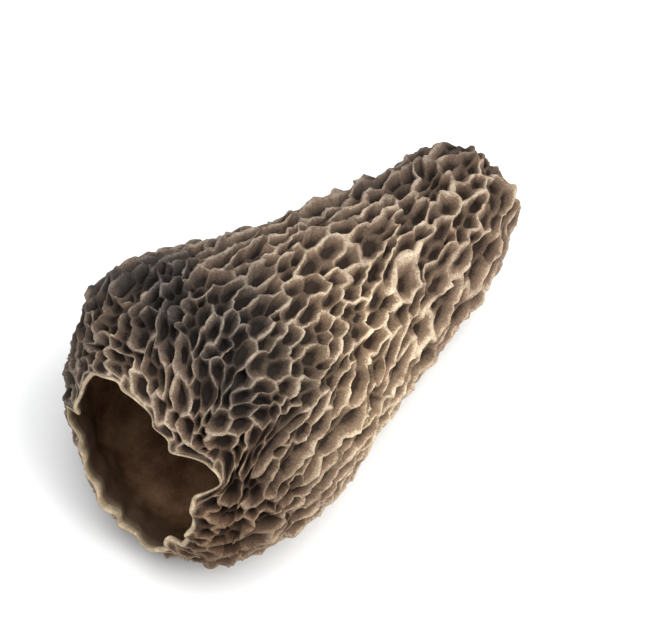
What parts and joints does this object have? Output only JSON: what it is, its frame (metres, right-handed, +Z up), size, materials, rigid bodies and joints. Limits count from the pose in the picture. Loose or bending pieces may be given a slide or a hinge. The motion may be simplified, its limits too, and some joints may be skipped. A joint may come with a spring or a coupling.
{
  "type": "dried morel mushroom",
  "caption": "Hollow dried morel cap: a leaning blunt cone with a net of raised ridges round deep pits and a torn mouth, lying on its flattened side.",
  "frame": {"origin": "on the surface it lies on, under the middle of its bounding box", "axes": "+X from the torn mouth to the tip, +Z up, with the flattened side on the surface"},
  "size_m": [0.0556, 0.0312, 0.0294],
  "materials": {
    "dried_skin": "dry and matte"
  },
  "bodies": {
    "root": {"morel_cap": "dried_skin"}
  },
  "joints": []
}
